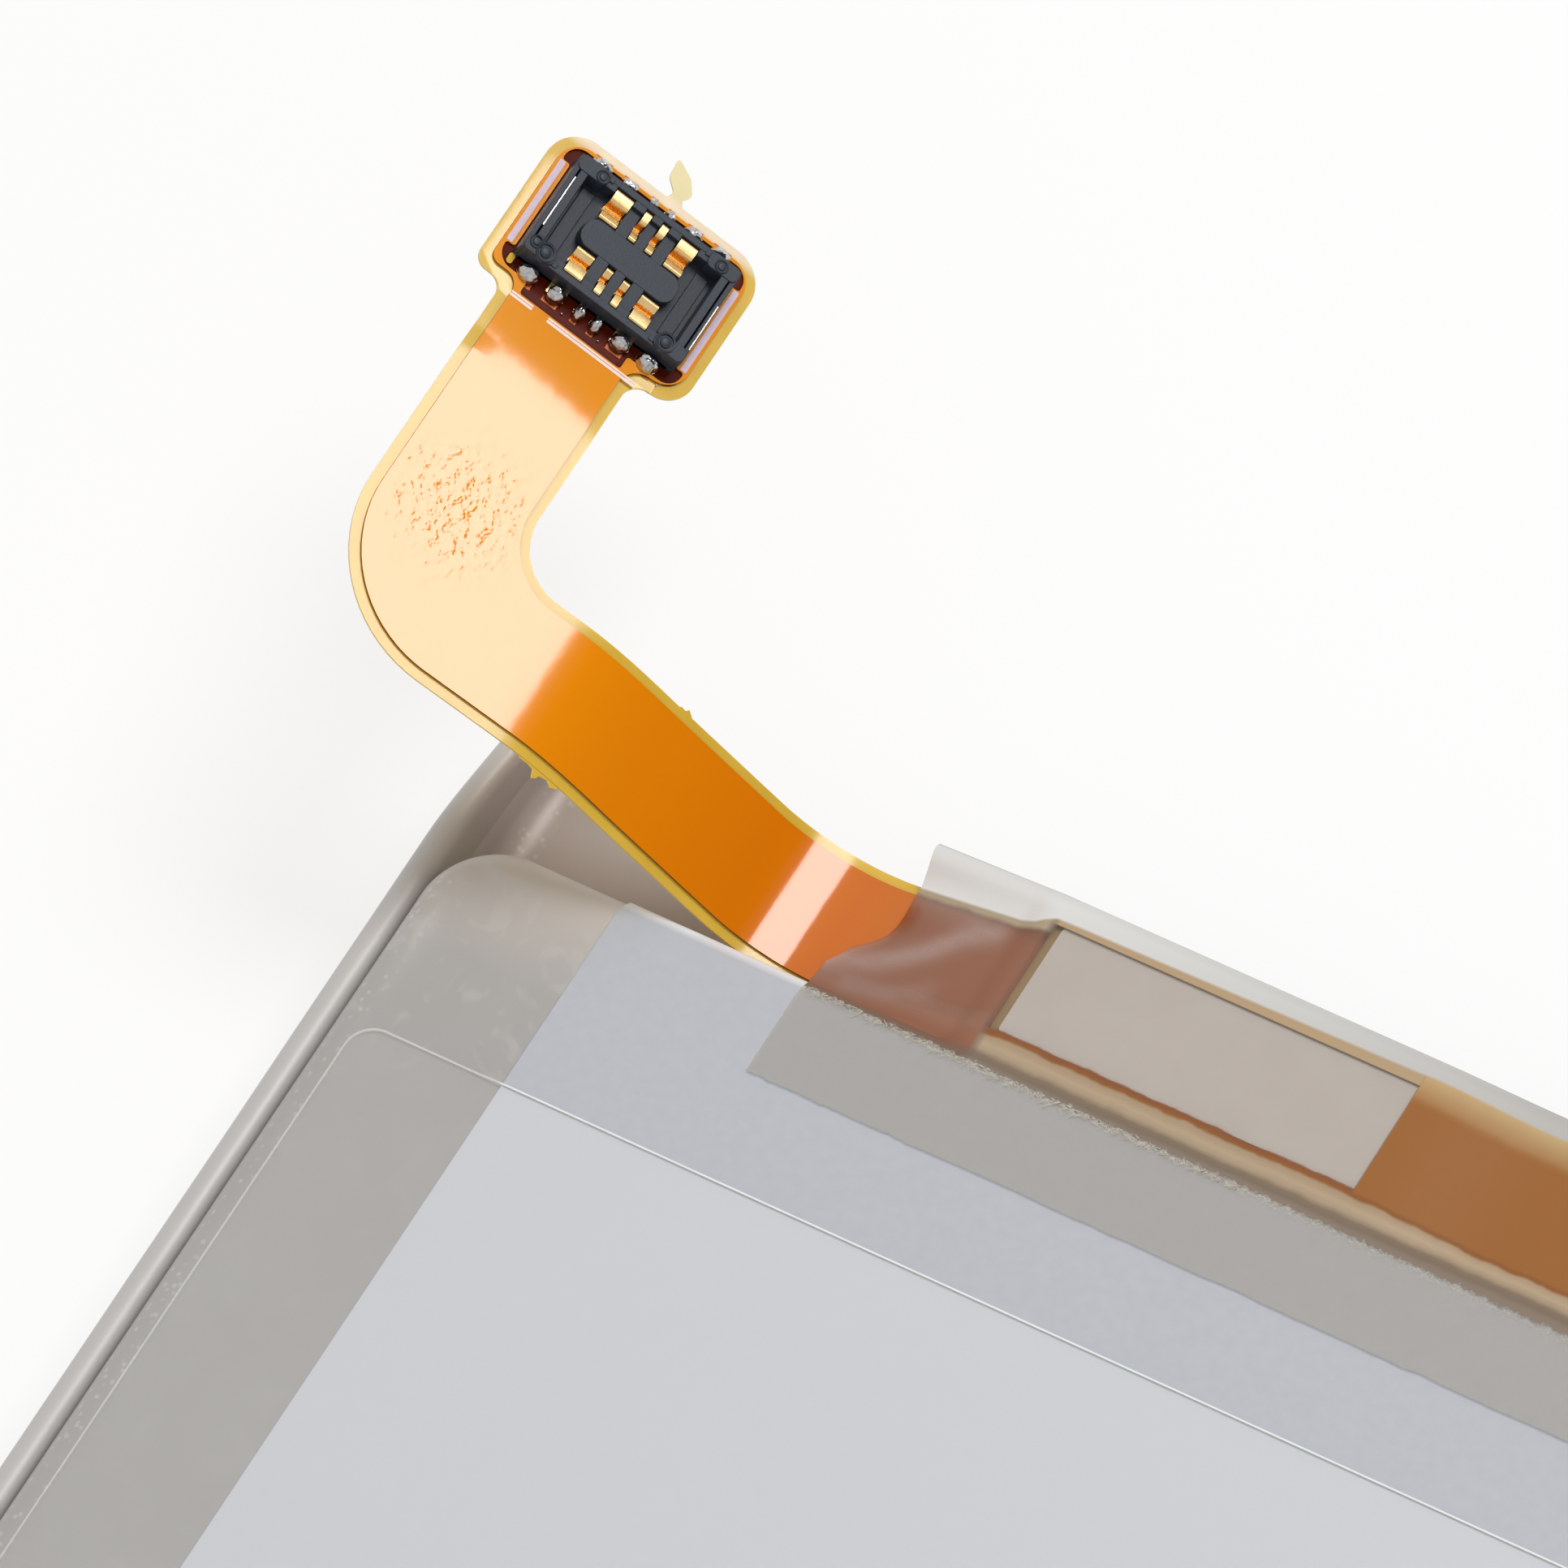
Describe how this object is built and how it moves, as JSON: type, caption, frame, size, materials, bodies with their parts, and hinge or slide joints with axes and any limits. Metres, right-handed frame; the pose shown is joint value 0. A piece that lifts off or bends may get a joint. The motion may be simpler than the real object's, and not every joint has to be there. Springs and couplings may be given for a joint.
{
  "type": "mobile phone battery",
  "caption": "Flat lithium polymer pouch battery with a protection board under frosted tape and an amber flexible circuit that rises to a board-to-board connector.",
  "frame": {"origin": "centre of the cell's flat back face", "axes": "+X across the cell, away from the flexible circuit's side; +Y along the cell towards the terrace and the connector; +Z out of the labelled face"},
  "size_m": [0.0471, 0.0984, 0.0098],
  "materials": {
    "pouch_laminate": "satin grey aluminium laminate",
    "white_label": "plain bluish white film, fine grain",
    "clear_film": "frosted clear adhesive film",
    "frosted_tape": "frosted translucent tape",
    "polyimide": "clear yellow polyimide",
    "amber_coverlay": "glossy amber polyimide over copper",
    "stiffener": "plain stiffener sheet",
    "black_plastic": "slate black moulded polymer",
    "gold_contact": "gold plated",
    "tinned_metal": "tin plated",
    "solder": "bright solder",
    "circuit_board": "tan glass epoxy board",
    "white_patch": "plain beige white sheet",
    "chip_ceramic": "chip component bodies",
    "aluminium_tab": "rolled foil",
    "nickel": "rolled nickel",
    "seal_film": "polypropylene seal film",
    "insulating_paper": "pressed insulating paper"
  },
  "bodies": {
    "root": {"pouch_cell": "pouch_laminate", "face_label": "white_label", "adhesive_film": "clear_film", "terrace_tape": "frosted_tape", "flex_base": "polyimide", "flex_coverlay": "amber_coverlay", "head_stiffener": "stiffener", "connector_housing": "black_plastic", "power_contact_1": "gold_contact", "power_contact_2": "gold_contact", "power_contact_3": "gold_contact", "power_contact_4": "gold_contact", "signal_contact_1": "gold_contact", "signal_contact_2": "gold_contact", "signal_contact_3": "gold_contact", "signal_contact_4": "gold_contact", "end_fitting_1": "tinned_metal", "end_fitting_2": "tinned_metal", "solder_joint_01": "solder", "solder_joint_02": "solder", "solder_joint_03": "solder", "solder_joint_04": "solder", "solder_joint_05": "solder", "solder_joint_06": "solder", "solder_joint_07": "solder", "solder_joint_08": "solder", "solder_joint_09": "solder", "solder_joint_10": "solder", "solder_joint_11": "solder", "solder_joint_12": "solder", "protection_board": "circuit_board", "board_cap": "circuit_board", "marking_patch": "white_patch", "protection_chip": "black_plastic", "switch_pair": "black_plastic", "chip_fuse": "chip_ceramic", "thermistor": "chip_ceramic", "sense_resistor": "chip_ceramic", "capacitor_1": "chip_ceramic", "capacitor_2": "chip_ceramic", "resistor_1": "chip_ceramic", "positive_tab": "aluminium_tab", "positive_weld_plate": "nickel", "positive_tab_film": "seal_film", "negative_tab": "nickel", "negative_weld_plate": "nickel", "negative_tab_film": "seal_film", "insulation_strip": "insulating_paper"}
  },
  "joints": []
}
